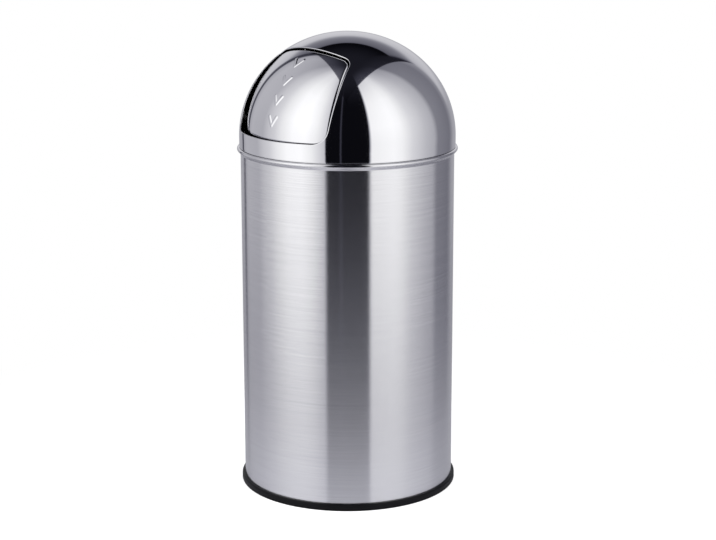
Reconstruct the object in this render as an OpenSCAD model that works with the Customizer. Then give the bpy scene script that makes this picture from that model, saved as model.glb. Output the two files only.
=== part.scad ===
// Dome top waste bin, 40 litre class: a brushed steel tube on a black floor ring, a lift-off
// polished dome with a sprung swing flap, and a galvanised inner bucket with a wire bail.
// Millimetres. +Z is up, the flap faces -Y, and the origin is on the floor under the centre.

/* [Body] */
// Outer diameter of the body tube
body_d = 350; // [320:1:380]
// Height of the body's rim above the floor
body_h = 569; // [480:1:640]
// Sheet thickness of the body tube
body_wall = 0.6; // [0.5:0.1:1]
// Diameter of the rolled bead round the body's rim
body_bead_d = 6.4; // [5:0.2:9]

/* [Base] */
// Height of the floor ring
ring_h = 11; // [9:0.5:16]
// How far the floor ring stands out from the tube
ring_out = 5; // [3:0.5:8]
// Width of the floor ring inside its groove
ring_lip_w = 5; // [3:0.5:9]
// Thickness of the floor ring under the tube
ring_floor = 3.2; // [2:0.2:5]
// Height of the base plate's edge flange
plate_flange_h = 7; // [5:0.5:12]
// Sheet thickness of the base plate
plate_wall = 0.8; // [0.6:0.1:1.6]
// Rise of the stiffening step in the base plate
plate_step_h = 2; // [1:0.5:3]
// Diameter of the stiffening step in the base plate
plate_step_d = 210; // [120:5:260]

/* [Dome] */
// How far the dome stands out from the body tube
dome_out = 2; // [1:0.5:4]
// How much lower the dome's curve is than half a ball
dome_flat = 8; // [0:1:16]
// Height of the straight skirt under the curve
skirt_h = 16.7; // [14:0.1:24]
// Sheet thickness of the dome
dome_wall = 0.8; // [0.6:0.1:1.2]
// Height of the hem folded in round the dome's edge
hem_h = 6; // [3:0.5:10]
// Depth of the collar that plugs into the body
collar_depth = 22; // [12:1:40]
// Sheet thickness of the collar
collar_wall = 0.8; // [0.6:0.1:1.2]
// Radial clearance between the collar and the body
collar_gap = 1; // [0.6:0.1:1.5]

/* [Opening] */
// Angle above the horizon that the opening is pressed from
punch_tilt = 30; // [20:1:40]
// Half width of the opening at its widest
open_half_w = 104; // [90:0.2:106]
// Height of the widest place above the dome's equator, along the tilted face
open_wide_v = -33.8; // [-44:0.2:-24]
// Lower edge of the opening, along the tilted face
open_low_v = -77.3; // [-78:0.1:-60]
// Upper edge of the opening, along the tilted face
open_high_v = 87.6; // [80:0.1:88]
// Radius of the opening's lower edge
open_low_r = 323; // [300:1:600]
// Radius of the opening's upper edge
open_high_r = 760; // [400:2:900]
// Radius of the opening's side edges
open_side_r = 332; // [320:1:500]
// Radius of the opening's four corners
open_corner_r = 16.6; // [10:0.2:20]
// Depth of the edge turned in round the opening
open_flange = 4; // [2:0.5:5]

/* [Flap] */
// Gap between the flap and the opening
flap_gap = 4; // [2:0.1:4.5]
// Depth of the flap's face under the dome's surface at its upper edge
flap_recess = 3; // [2.5:0.1:5]
// Angle by which the flap rests swung in
flap_lean = 3.5; // [3:0.1:4.2]
// Depth of the rim turned in round the flap
flap_rim = 5; // [3:0.5:6]
// Sheet thickness of the flap
flap_wall = 0.8; // [0.6:0.1:1.2]
// How far the pressed marks stand up from the flap
mark_rise = 0.7; // [0.3:0.1:1.2]
// Width of the pressed marks' stroke
mark_stroke = 3.2; // [2:0.2:5]
// Width of a pressed mark
mark_w = 20; // [12:1:28]
// Height of a pressed mark
mark_h = 18; // [10:1:24]
// Distance from one pressed mark to the next
mark_pitch = 34; // [28:1:36]
// Height of the lowest pressed mark, along the tilted face
mark_low_v = -44; // [-46:1:-40]
// Length of the stop tabs beyond the opening's edge
tab_reach = 13; // [12:0.5:16]
// Width of the stop tabs
tab_w = 16; // [12:1:24]
// Thickness of the stop tabs
tab_t = 1.2; // [0.8:0.1:2]
// Height of the stop tabs along the tilted face
tab_v = -36; // [-40:1:0]
// Diameter of the rubber stop buffers
buffer_d = 9; // [6:0.5:10]

/* [Hinge] */
// Distance of the hinge rod's middle behind the opening's upper edge
hinge_back = 20.2; // [19:0.1:24]
// Distance of the hinge rod's middle under the opening's upper edge
hinge_drop = 15.3; // [14:0.1:20]
// Diameter of the hinge rod
rod_d = 5; // [4:0.5:6]
// Thickness of the bracket's sheet
bracket_t = 1.5; // [1:0.1:2]
// Length of the bracket's sheet along the dome
bracket_l = 34; // [28:1:36]
// Distance from the opening's edge to the bracket's sheet
bracket_back = 6; // [4:0.5:8]
// Width of the bracket's ears where they leave its sheet
ear_root_w = 20; // [14:1:28]
// Radius of the bracket's ears round the rod
ear_r = 5.5; // [4.5:0.1:6]
// Length of each knuckle on the flap
knuckle_l = 12; // [8:1:24]
// Outer diameter of the knuckles
knuckle_d = 11; // [9:0.2:12]
// Outer diameter of the plain bushes in the knuckles
bush_d = 8; // [7:0.1:9]
// Running clearance of the rod in its bushes and ears, all round
rod_clear = 0.05; // [0.03:0.01:0.1]
// Clearance between neighbouring pieces that don't move on each other
seat_gap = 0.1; // [0.05:0.01:0.3]
// Thickness of the washers beside the knuckles
washer_t = 2; // [1:0.5:3]
// Thickness of the hinge plate on the back of the flap
hinge_plate_t = 1.2; // [0.8:0.1:2]
// Height of the hinge plate on the back of the flap
hinge_plate_h = 42; // [34:1:50]
// Thickness of the straps from the hinge plate to the knuckles
strap_t = 2; // [1.2:0.2:2.4]
// Diameter of the spring's wire
spring_wire = 1.6; // [1.2:0.1:2]
// Diameter of the spring's coil, between wire centres
spring_coil_d = 9.4; // [8.5:0.1:10]
// Whole turns of the spring
spring_turns = 6; // [3:1:9]
// Distance from one turn of the spring to the next
spring_pitch = 2.3; // [2.1:0.1:3]
// Clearance between the spring and the knuckles beside it
spring_room = 1.6; // [1:0.2:4]

/* [Bucket] */
// Clearance between the bucket's rim and the body tube
bucket_gap = 4; // [2.5:0.5:12]
// How much smaller the bucket's radius is at its foot
bucket_taper = 6; // [2:1:20]
// Depth of the bucket's rim under the body's rim
bucket_drop = 35.4; // [30:0.2:90]
// Sheet thickness of the bucket
bucket_wall = 0.5; // [0.4:0.1:1]
// Diameter of the rolled bead round the bucket's rim
bucket_bead_d = 6; // [4:0.5:7]
// Height of the bucket's bottom above its foot
bucket_foot_h = 5; // [4:0.5:10]
// Diameter of the bail's wire
bail_wire_d = 5; // [4:0.5:6]
// Height of the bail's pivots above the rim
bail_rise = 3; // [2.9:0.1:6]
// Width of the bail's ears
bail_ear_w = 24; // [20:1:36]
// Height of the bail's ears under the rim
bail_ear_drop = 34; // [24:1:60]
// Thickness of the bail's ears
bail_ear_t = 1.5; // [1:0.1:2.5]
// Diameter of the ears' rivets
ear_rivet_d = 5; // [4:0.5:6]
// Running clearance of the bail in its ears
bail_clear = 0.08; // [0.04:0.01:0.1]
// Clearance between pieces that lift off each other
lift_gap = 0.3; // [0.2:0.05:0.5]

/* [Hidden] */

$fn = 96;
cut = 1; // how far a cutting shape runs past what it cuts
far = 400; // longer than any piece, for shapes that cut or bound
curve_steps = 30; // flats along a quarter of the dome's curve
arc_steps = 10; // flats along each long edge of the opening
corner_steps = 6; // flats round each corner of the opening

body_r = body_d / 2;
body_in_r = body_r - body_wall;
shell_foot_z = ring_floor + seat_gap;
body_bead_r = body_bead_d / 2;
body_bead_at = body_in_r + body_bead_r;

plate_r = body_in_r - seat_gap;
plate_top_z = shell_foot_z + plate_flange_h;
plate_step_r = plate_step_d / 2;
plate_step_run = 5;

groove_in_r = plate_r - plate_wall - seat_gap;
ring_out_r = body_r + ring_out;
ring_in_r = groove_in_r - ring_lip_w;
ring_lip_h = plate_top_z - plate_wall - seat_gap;
ring_edge = 1.2;

dome_r = body_r + dome_out;
dome_h = dome_r - dome_flat;
dome_in_r = dome_r - dome_wall;
lid_z = body_h + lift_gap;
dome_z = lid_z + skirt_h;
collar_r = body_in_r - collar_gap;
collar_top_z = dome_z - 3;
collar_land_h = 2;
inner_depth = dome_wall + seat_gap; // depth of what is fixed inside the dome
sheet_slack = 0.08; // room for the flats of the dome's curve over a sheet that follows a ball

rod_r = rod_d / 2;
bore_r = rod_r + rod_clear;
clip_t = 1.2;
clip_r = rod_r + 2.5;
rod_end_l = 3; // how far the rod runs out past its clips
washer_r = ear_r - 0.5;
knuckle_r = knuckle_d / 2;
strap_drop = 1; // how far the straps lie under the rod's middle
flap_back = flap_recess + flap_wall + seat_gap; // depth of what is fixed to the flap's back
flap_top_v = open_high_v - flap_gap - flap_wall - 4;

bucket_z = plate_top_z + lift_gap;
bucket_top_z = body_h - bucket_drop;
bucket_bead_r = bucket_bead_d / 2;
bucket_in_r = body_in_r - bucket_gap - bucket_bead_d;
bucket_top_r = bucket_in_r + bucket_wall;
bucket_foot_r = bucket_top_r - bucket_taper;
bucket_bead_at = bucket_in_r + bucket_bead_r;
bail_r = bail_wire_d / 2;
bail_z = bucket_top_z + bail_rise;
bail_ear_out_r = bucket_in_r - seat_gap - bucket_taper * bail_ear_drop / (bucket_top_z - bucket_z);
bail_ear_in_r = bail_ear_out_r - bail_ear_t;
rivet_r = ear_rivet_d / 2;
rivet_head_r = rivet_r * 1.8;
rivet_head_t = 1.5;
rivet_y = bail_ear_w * 0.28;
rivet_z = bucket_top_z - bail_ear_drop + bail_ear_w / 4;
bail_head_t = 1.5;
bail_head_r = bail_r + 2;

// ---- curves ----

function arc_points(centre, r, a0, a1, n) =
    [for (i = [0:n]) centre + r * [cos(a0 + (a1 - a0) * i / n), sin(a0 + (a1 - a0) * i / n)]];

function angle_to(a, b) = atan2(b[1] - a[1], b[0] - a[0]);

// where two circles cross, on the left of the way from the first centre to the second
function circles_meet(c1, r1, c2, r2) =
    let (d = norm(c2 - c1), along = (d * d + r1 * r1 - r2 * r2) / (2 * d),
         across = sqrt(r1 * r1 - along * along), u = (c2 - c1) / d)
    c1 + along * u + across * [-u[1], u[0]];

// a point of the dome's section sunk by depth, at an angle from the equator
function on_curve(depth, a) = [(dome_r - depth) * cos(a), (dome_h - depth) * sin(a)];

// the points of that section from the equator to the top
function dome_curve(depth) = [for (i = [0:curve_steps]) on_curve(depth, 90 * i / curve_steps)];

// the opening's outline on its tilted face, drawn in by inset: four long arcs with round corners
function opening_outline(inset) =
    let (r = open_corner_r,
         side = [open_half_w - open_side_r, open_wide_v],
         low = [0, open_low_v + open_low_r],
         high = [0, open_high_v - open_high_r],
         foot = circles_meet(low, open_low_r - r, side, open_side_r - r),
         head = circles_meet(side, open_side_r - r, high, open_high_r - r),
         right = concat(
             arc_points(foot, r - inset, angle_to(low, foot), angle_to(side, foot), corner_steps),
             arc_points(side, open_side_r - inset, angle_to(side, foot), angle_to(side, head), arc_steps),
             arc_points(head, r - inset, angle_to(side, head), angle_to(high, head), corner_steps)),
         top = arc_points(high, open_high_r - inset, angle_to(high, head),
                          180 - angle_to(high, head), arc_steps),
         bottom = arc_points(low, open_low_r - inset, -180 - angle_to(low, foot),
                             angle_to(low, foot), arc_steps))
    concat([for (i = [1:len(right) - 2]) right[i]], top,
           [for (i = [len(right) - 2:-1:1]) [-right[i][0], right[i][1]]], bottom);

// a rectangle on the tilted face
function patch(x0, x1, v0, v1) = [[x0, v0], [x1, v0], [x1, v1], [x0, v1]];

// the point of the dome's surface, sunk by depth, that lies behind x and v on the tilted face
function on_dome(x, v, depth) =
    let (a = dome_r - depth, h = dome_h - depth, c = cos(punch_tilt), s = sin(punch_tilt),
         p = c * c / (a * a) + s * s / (h * h),
         q = 2 * v * s * c * (1 / (h * h) - 1 / (a * a)),
         w = x * x / (a * a) + v * v * (s * s / (a * a) + c * c / (h * h)) - 1,
         t = (sqrt(q * q - 4 * p * w) - q) / (2 * p))
    [x, v * s - t * c, v * c + t * s];

// the way out of that surface at a point
function way_out(p, depth) =
    let (n = [p[0] / pow(dome_r - depth, 2), p[1] / pow(dome_r - depth, 2), p[2] / pow(dome_h - depth, 2)])
    n / norm(n);

// how far it is from a point along a way to the dome's surface sunk by depth
function reach(p, way, depth) =
    let (k = [1 / (dome_r - depth), 1 / (dome_r - depth), 1 / (dome_h - depth)],
         o = [p[0] * k[0], p[1] * k[1], p[2] * k[2]], d = [way[0] * k[0], way[1] * k[1], way[2] * k[2]],
         a = d * d, b = o * d, c = o * o - 1)
    (sqrt(b * b - a * c) - b) / a;

// the opening's upper edge in the middle plane, its place on the dome's curve in degrees, and the
// hinge rod behind and under it: both points are [forward is minus, up] from the dome's centre
top_edge = let (p = on_dome(0, open_high_v, 0)) [p[1], p[2]];
edge_at = asin(top_edge[1] / dome_h);
hinge = top_edge + [hinge_back, -hinge_drop];
dome_over_rod = dome_h * sqrt(1 - pow(hinge[0] / dome_r, 2)) - hinge[1];

// a point or a way in the flap's own place, swung in to its rest
function swung(p) = [p[0], p[1] * cos(flap_lean) - p[2] * sin(flap_lean),
                     p[1] * sin(flap_lean) + p[2] * cos(flap_lean)];
function at_rest(p) = swung(p - [0, hinge[0], hinge[1]]) + [0, hinge[0], hinge[1]];

// the height of the centre and the radius of a ball that follows the dome's surface, sunk by depth,
// between two angles from the equator
function ball(depth, a0, a1) =
    let (p = on_curve(depth, a0), q = on_curve(depth, a1), c = (q * q - p * p) / (2 * (q[1] - p[1])))
    [c, norm([p[0], p[1] - c])];

// ---- spring and hinge along the rod ----

spring_r = spring_coil_d / 2;
turn_steps = 12; // straight pieces in one turn of the spring
fixed_leg_at = edge_at + 8; // place on the dome's curve where the fixed leg bears
moving_leg_at = edge_at - 11; // place on the flap's curve where the moving leg bears
leg_gap = spring_wire / 2 + 0.4; // from what a leg bears on to the middle of its wire

// the ends of the legs, in the plane across the rod and counted from the rod
fixed_end = let (p = on_curve(inner_depth + sheet_slack + bracket_t + leg_gap, fixed_leg_at)) [-p[0], p[1]] - hinge;
moving_end = let (p = on_curve(flap_back + sheet_slack + hinge_plate_t + leg_gap, moving_leg_at),
                  q = swung([0, -p[0] - hinge[0], p[1] - hinge[1]])) [q[1], q[2]];

// where the coil starts and ends, so that both legs leave it straight
coil_start = angle_to([0, 0], fixed_end) + acos(spring_r / norm(fixed_end));
coil_end = angle_to([0, 0], moving_end) - acos(spring_r / norm(moving_end));
coil_turn = 360 * spring_turns + (coil_end - coil_start + 720) % 360;
coil_steps = ceil(turn_steps * coil_turn / 360);
spring_half = spring_pitch * coil_turn / 720;

// from the spring outwards: a knuckle, a washer and an ear on each side
knuckle_in_x = spring_half + spring_wire / 2 + spring_room;
knuckle_out_x = knuckle_in_x + knuckle_l;
ear_in_x = knuckle_out_x + lift_gap + washer_t + 2 * seat_gap;
ear_out_x = ear_in_x + bracket_t;
rod_half = ear_out_x + seat_gap + clip_t + rod_end_l;

function coil_point(i) = let (a = coil_start + coil_turn * i / coil_steps)
    [-spring_half + 2 * spring_half * i / coil_steps, spring_r * cos(a), spring_r * sin(a)];

spring_path = concat([[-spring_half, fixed_end[0], fixed_end[1]]], [for (i = [0:coil_steps]) coil_point(i)],
                     [[spring_half, moving_end[0], moving_end[1]]]);

// the least gap between one turn and another
spring_gap = min([for (i = [0:coil_steps - turn_steps / 2], j = [i + turn_steps / 2:coil_steps])
                  norm(coil_point(i) - coil_point(j))]) - spring_wire;
echo(str("least gap of the spring to itself, mm: ", spring_gap));

// ---- shared shapes ----

// the solid inside the dome's surface, sunk by depth, above its equator
module dome_solid(depth)
    translate([0, 0, dome_z]) rotate_extrude() polygon(concat([[0, 0]], dome_curve(depth)));

// the layer of the dome between two depths
module dome_layer(outer, inner) {
    back = dome_curve(inner);
    translate([0, 0, dome_z]) rotate_extrude()
        polygon(concat(dome_curve(outer), [for (i = [curve_steps:-1:0]) back[i]]));
}

// the inside of a ball, less a skin of some thickness
module ball_solid(b, skin) translate([0, 0, dome_z + b[0]]) sphere(r = b[1] - skin);

// a sheet that follows a ball
module ball_sheet(b, t) difference() {
    ball_solid(b, 0);
    ball_solid(b, t);
}

// a prism through the front of the dome, along the way that the opening is pressed
module punch(outline)
    translate([0, 0, dome_z]) rotate([90 - punch_tilt, 0, 0]) linear_extrude(far) polygon(outline);

module at_hinge() translate([0, hinge[0], dome_z + hinge[1]]) children();

// the flap's pieces are drawn even with the dome and then swung in to their rest
module leaned() at_hinge() rotate([flap_lean, 0, 0])
    translate([0, -hinge[0], -dome_z - hinge[1]]) children();

// a cylinder along X, from x0 to x1
module x_cylinder(r, x0, x1) translate([x0, 0, 0]) rotate([0, 90, 0]) cylinder(r = r, h = x1 - x0);

// a flat shape in the plane across the rod, from x0 to x1
module x_plate(x0, x1) translate([x0, 0, 0]) rotate([90, 0, 90]) linear_extrude(x1 - x0) children();

module both_sides() {
    children();
    mirror([1, 0, 0]) children();
}

module ring_section(r0, r1, z0, z1)
    rotate_extrude() translate([r0, z0]) square([r1 - r0, z1 - z0]);

// ---- body ----

module body_shell() color("silver") union() {
    ring_section(body_in_r, body_r, shell_foot_z, body_h - body_bead_r);
    rotate_extrude() translate([body_bead_at, body_h - body_bead_r]) difference() {
        circle(r = body_bead_r);
        circle(r = body_bead_r - body_wall);
    }
}

// the plate's sloping step is drawn in a little underneath, to keep the sheet's thickness even
module base_plate() color("gainsboro") rotate_extrude() polygon([
    [0, plate_top_z + plate_step_h - plate_wall], [0, plate_top_z + plate_step_h],
    [plate_step_r, plate_top_z + plate_step_h], [plate_step_r + plate_step_run, plate_top_z],
    [plate_r, plate_top_z], [plate_r, shell_foot_z], [plate_r - plate_wall, shell_foot_z],
    [plate_r - plate_wall, plate_top_z - plate_wall],
    [plate_step_r + plate_step_run - 0.3, plate_top_z - plate_wall],
    [plate_step_r - 0.3, plate_top_z + plate_step_h - plate_wall]]);

module base_ring() color("dimgray") rotate_extrude() polygon([
    [ring_in_r, 0], [ring_out_r - ring_edge, 0], [ring_out_r, ring_edge], [ring_out_r, ring_h - ring_edge],
    [ring_out_r - ring_edge, ring_h], [body_r + seat_gap, ring_h], [body_r + seat_gap, ring_floor],
    [groove_in_r, ring_floor], [groove_in_r, ring_lip_h], [ring_in_r, ring_lip_h]]);

// ---- lid ----

module dome() color("lightgray") difference() {
    union() {
        dome_layer(0, dome_wall);
        ring_section(dome_in_r, dome_r, lid_z, dome_z);
        ring_section(dome_in_r - dome_wall, dome_r, lid_z, lid_z + hem_h);
        intersection() {
            dome_layer(0, open_flange);
            punch(opening_outline(-dome_wall));
        }
    }
    punch(opening_outline(0));
}

module lid_collar() color("silver") union() {
    ring_section(collar_r - collar_wall, collar_r, body_h - collar_depth, collar_top_z);
    ring_section(collar_r - collar_wall, dome_in_r - seat_gap, collar_top_z - collar_land_h, collar_top_z);
}

// the bracket is a sheet welded under the dome behind the opening, with an ear down at each side
module hinge_bracket() color("gray") union() {
    under_dome = ball(inner_depth + sheet_slack, edge_at + 2, edge_at + 17);
    intersection() {
        ball_sheet(under_dome, bracket_t);
        punch(patch(-ear_out_x - 1, ear_out_x + 1, open_high_v + bracket_back,
                    open_high_v + bracket_back + bracket_l));
    }
    intersection() {
        at_hinge() both_sides() x_plate(ear_in_x, ear_out_x) difference() {
            union() {
                circle(r = ear_r);
                polygon([[-ear_r, 0], [ear_r, 0], [ear_root_w - ear_r, dome_over_rod], [-ear_r, dome_over_rod]]);
            }
            circle(r = bore_r);
        }
        ball_solid(under_dome, bracket_t / 2);
    }
}

module hinge_rod() color("silver") at_hinge() x_cylinder(rod_r, -rod_half, rod_half);

module rod_clips() color("gray") at_hinge() both_sides() difference() {
    x_cylinder(clip_r, ear_out_x + seat_gap, ear_out_x + seat_gap + clip_t);
    x_cylinder(bore_r, ear_out_x, rod_half);
}

module rod_washers() color("white") at_hinge() both_sides() difference() {
    x_cylinder(washer_r, ear_in_x - seat_gap - washer_t, ear_in_x - seat_gap);
    x_cylinder(bore_r, knuckle_out_x, ear_in_x);
}

// ---- spring ----

// a wire of six flat sides along the points
module wire(points, r) {
    n = len(points);
    sides = 6;
    ways = [for (i = [0:n - 1]) let (d = points[min(i + 1, n - 1)] - points[max(i - 1, 0)]) d / norm(d)];
    rings = [for (i = [0:n - 1]) let (s = cross(ways[i], [1, 0, 0]), u = s / norm(s), t = cross(ways[i], u))
             for (k = [0:sides - 1]) points[i] + r * (cos(60 * k) * u + sin(60 * k) * t)];
    walls = [for (i = [0:n - 2], k = [0:sides - 1]) let (m = (k + 1) % sides, a = i * sides, b = a + sides)
             each [[a + k, a + m, b + m], [a + k, b + m, b + k]]];
    caps = [for (k = [1:sides - 2], e = [0, 1]) let (f = e * (n - 1) * sides)
            e == 0 ? [f, f + k + 1, f + k] : [f, f + k, f + k + 1]];
    polyhedron(points = rings, faces = concat(walls, caps), convexity = 10);
}

module flap_spring() color("gray") at_hinge() wire(spring_path, spring_wire / 2);

// ---- flap ----

// one pressed mark: a chevron that points down the flap
function chevron(v) = [[0, v], [mark_w / 2, v + mark_h - mark_stroke], [mark_w / 2, v + mark_h],
                       [mark_w / 2 - mark_stroke, v + mark_h], [0, v + mark_stroke * 1.9],
                       [mark_stroke - mark_w / 2, v + mark_h], [-mark_w / 2, v + mark_h],
                       [-mark_w / 2, v + mark_h - mark_stroke]];

module flap_panel() color("lightgray") leaned() union() {
    intersection() {
        dome_layer(flap_recess, flap_recess + flap_wall);
        punch(opening_outline(flap_gap));
    }
    intersection() {
        dome_layer(flap_recess, flap_recess + flap_rim);
        difference() {
            punch(opening_outline(flap_gap));
            punch(opening_outline(flap_gap + flap_wall));
            intersection() {
                dome_solid(flap_recess + flap_wall);
                punch(patch(-far / 2, far / 2, tab_v - tab_w / 2 - lift_gap, tab_v + tab_w / 2 + lift_gap));
            }
        }
    }
    for (i = [0:3]) intersection() {
        dome_layer(flap_recess - mark_rise, flap_recess + flap_wall / 2);
        punch(chevron(mark_low_v - mark_h / 2 + i * mark_pitch));
    }
}

// the leaf on the flap's back, with a strap under the flap's rim to each knuckle round the rod
module flap_hinge_plate() color("gray") leaned() difference() {
    behind_flap = ball(flap_back + sheet_slack, edge_at - 18, edge_at - 1);
    union() {
        intersection() {
            ball_sheet(behind_flap, hinge_plate_t);
            punch(patch(-knuckle_out_x, knuckle_out_x, flap_top_v - hinge_plate_h, flap_top_v));
        }
        intersection() {
            at_hinge() both_sides() x_plate(knuckle_in_x, knuckle_out_x)
                translate([-far, -strap_drop - strap_t]) square([far - bush_d / 2 - 2 * seat_gap, strap_t]);
            ball_solid(behind_flap, hinge_plate_t / 2);
        }
        at_hinge() both_sides() x_cylinder(knuckle_r, knuckle_in_x, knuckle_out_x);
    }
    at_hinge() both_sides() x_cylinder(bush_d / 2 + seat_gap, knuckle_in_x - cut, knuckle_out_x + cut);
}

module knuckle_bushes() color("white") at_hinge() both_sides() difference() {
    x_cylinder(bush_d / 2, knuckle_in_x, knuckle_out_x);
    x_cylinder(bore_r, knuckle_in_x - cut, knuckle_out_x + cut);
}

// tabs behind the flap that reach out past the opening's sides
module flap_stop_tabs() color("gray") leaned() both_sides() intersection() {
    dome_layer(flap_back, flap_back + tab_t);
    punch(patch(open_half_w - 14, open_half_w + tab_reach, tab_v - tab_w / 2, tab_v + tab_w / 2));
}

// rubber posts from the tabs to the dome's inner face, which they meet when the flap is shut
module stop_buffers() color("dimgray") both_sides() {
    p = on_dome(open_half_w + tab_reach / 3, tab_v, flap_back);
    n = way_out(p, flap_back);
    foot = at_rest(p + n * seat_gap);
    way = swung(n);
    translate([foot[0], foot[1], foot[2] + dome_z])
        rotate([0, acos(way[2]), atan2(way[1], way[0])])
            cylinder(d = buffer_d, h = reach(foot, way, dome_wall) - lift_gap - 0.1);
}

// ---- bucket ----

module bucket_shell() color("lightsteelblue") difference() {
    union() {
        rotate_extrude() polygon([
            [bucket_foot_r - bucket_wall, bucket_z], [bucket_foot_r, bucket_z],
            [bucket_top_r, bucket_top_z - bucket_bead_r], [bucket_in_r, bucket_top_z - bucket_bead_r]]);
        rotate_extrude() translate([bucket_bead_at, bucket_top_z - bucket_bead_r]) difference() {
            circle(r = bucket_bead_r);
            circle(r = bucket_bead_r - bucket_wall);
        }
    }
    rivet_holes();
}

module bucket_bottom() color("lightsteelblue") {
    r = bucket_foot_r - bucket_wall - seat_gap;
    z = bucket_z + bucket_foot_h;
    rotate_extrude() polygon([[0, z], [0, z + bucket_wall], [r, z + bucket_wall], [r, bucket_z],
                              [r - bucket_wall, bucket_z], [r - bucket_wall, z]]);
}

module at_rivets() both_sides() for (y = [-rivet_y, rivet_y]) translate([0, y, rivet_z]) children();

module rivet_holes() at_rivets() x_cylinder(rivet_r + seat_gap, bail_ear_in_r - 5, far);

module bail_ears() color("silver") difference() {
    both_sides() intersection() {
        ring_section(bail_ear_in_r, bail_ear_out_r, bucket_top_z - bail_ear_drop, bail_z + bail_ear_w / 3);
        translate([0, -bail_ear_w / 2, 0]) cube([far, bail_ear_w, 2 * far]);
    }
    both_sides() translate([0, 0, bail_z]) x_cylinder(bail_r + bail_clear, bail_ear_in_r - 5, far);
    rivet_holes();
}

// each rivet's inner head lies clear of the ear's hollow face, and its outer one clear of the wall
module ear_rivets() color("gray") at_rivets() {
    inner_x = sqrt(pow(bail_ear_in_r, 2) - pow(rivet_y + rivet_head_r, 2)) - seat_gap;
    outer_x = bucket_top_r + seat_gap;
    x_cylinder(rivet_head_r, inner_x - rivet_head_t, inner_x);
    x_cylinder(rivet_r, inner_x - rivet_head_t, outer_x + rivet_head_t);
    x_cylinder(rivet_head_r, outer_x, outer_x + rivet_head_t);
}

module bail_wire() color("silver") translate([0, 0, bail_z]) union() {
    rotate_extrude(angle = 180) translate([bucket_bead_at, 0]) circle(r = bail_r, $fn = 32);
    both_sides() x_cylinder(bail_r, bail_ear_in_r - 2 * bail_head_t, bucket_bead_at);
    both_sides() x_cylinder(bail_head_r, bail_ear_in_r - 2 * bail_head_t, bail_ear_in_r - bail_head_t);
}

body_shell();
base_plate();
base_ring();
dome();
lid_collar();
hinge_bracket();
hinge_rod();
rod_clips();
rod_washers();
flap_spring();
flap_panel();
flap_hinge_plate();
knuckle_bushes();
flap_stop_tabs();
stop_buffers();
bucket_shell();
bucket_bottom();
bail_ears();
ear_rivets();
bail_wire();
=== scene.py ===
from math import acos, atan2, cos, pi, radians, sin, sqrt, tau

import bmesh
import bpy
from mathutils import Matrix, Vector


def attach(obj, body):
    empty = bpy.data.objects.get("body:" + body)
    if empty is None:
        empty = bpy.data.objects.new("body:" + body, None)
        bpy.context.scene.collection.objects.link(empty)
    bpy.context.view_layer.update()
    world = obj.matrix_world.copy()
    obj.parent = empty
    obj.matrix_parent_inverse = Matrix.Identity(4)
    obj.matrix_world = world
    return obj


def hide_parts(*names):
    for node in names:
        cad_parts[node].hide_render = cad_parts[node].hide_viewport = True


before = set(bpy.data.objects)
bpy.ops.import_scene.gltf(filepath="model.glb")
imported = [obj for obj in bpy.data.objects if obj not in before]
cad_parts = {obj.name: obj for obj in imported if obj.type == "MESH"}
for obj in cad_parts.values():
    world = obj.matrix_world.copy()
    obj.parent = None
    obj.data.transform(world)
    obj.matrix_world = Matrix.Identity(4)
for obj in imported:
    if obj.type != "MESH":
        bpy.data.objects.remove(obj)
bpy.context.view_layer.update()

# the pieces' sizes are in millimetres, and the scene is in metres
mm = 0.001
seatGap = 0.1                           # between pieces that are joined or pressed together
mergeWithin = 1e-7                      # metres

# the solids' sizes, but the bead's radius is 0.04 smaller, and a sloping neck leads up to it
body = dict(radius=175.0, height=569.0, wall=0.6, bead=3.16, neck=4.5, foot=3.3, neckSteps=8,
            beadSteps=40)
insideRadius = body["radius"] - body["wall"]


# curves, sections and pieces

def shares(count):
    return [k / count for k in range(count + 1)]


def arc(centre, r, a0, a1, n):
    # n steps from the angle a0 to the angle a1
    angles = [a0 + (a1 - a0) * share for share in shares(n)]
    return [centre + r * Vector((cos(a), sin(a))) for a in angles]


def rounded(points):
    # corners given as (across, up, radius) or (across, up, radius, steps) become arcs, of 5 steps
    # where none are given
    out = []
    n = len(points)
    for i, p in enumerate(points):
        here = Vector(p[:2])
        radius = p[2] if len(p) > 2 else 0
        if radius == 0:
            out.append(here)
            continue
        a = Vector(points[i - 1][:2]) - here
        b = Vector(points[(i + 1) % n][:2]) - here
        a.normalize()
        b.normalize()
        half = a.angle(b) / 2
        middle = here + (a + b).normalized() * (radius / sin(half))
        reach = sqrt(max((radius / sin(half)) ** 2 - radius * radius, 0))
        start, end = here + a * reach - middle, here + b * reach - middle
        turn = atan2(start.x * end.y - start.y * end.x, start.dot(end))
        steps = p[3] if len(p) > 3 else 5
        for k in range(steps + 1):
            out.append(middle + Matrix.Rotation(turn * k / steps, 2) @ start)
    return out


def spunMesh(profile, steps=288):
    # a closed section in the plane of X and Z, spun round Z
    bm = bmesh.new()
    section = [bm.verts.new((p.x * mm, 0, p.y * mm)) for p in profile]
    edges = [bm.edges.new((a, b)) for a, b in zip(section, section[1:] + section[:1])]
    bmesh.ops.spin(bm, geom=section + edges, cent=(0, 0, 0), axis=(0, 0, 1), angle=tau, steps=steps,
                   use_merge=True)
    bmesh.ops.remove_doubles(bm, verts=bm.verts, dist=mergeWithin)
    bmesh.ops.dissolve_degenerate(bm, dist=mergeWithin / 10, edges=bm.edges)
    bmesh.ops.recalc_face_normals(bm, faces=bm.faces)
    return bm


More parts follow.
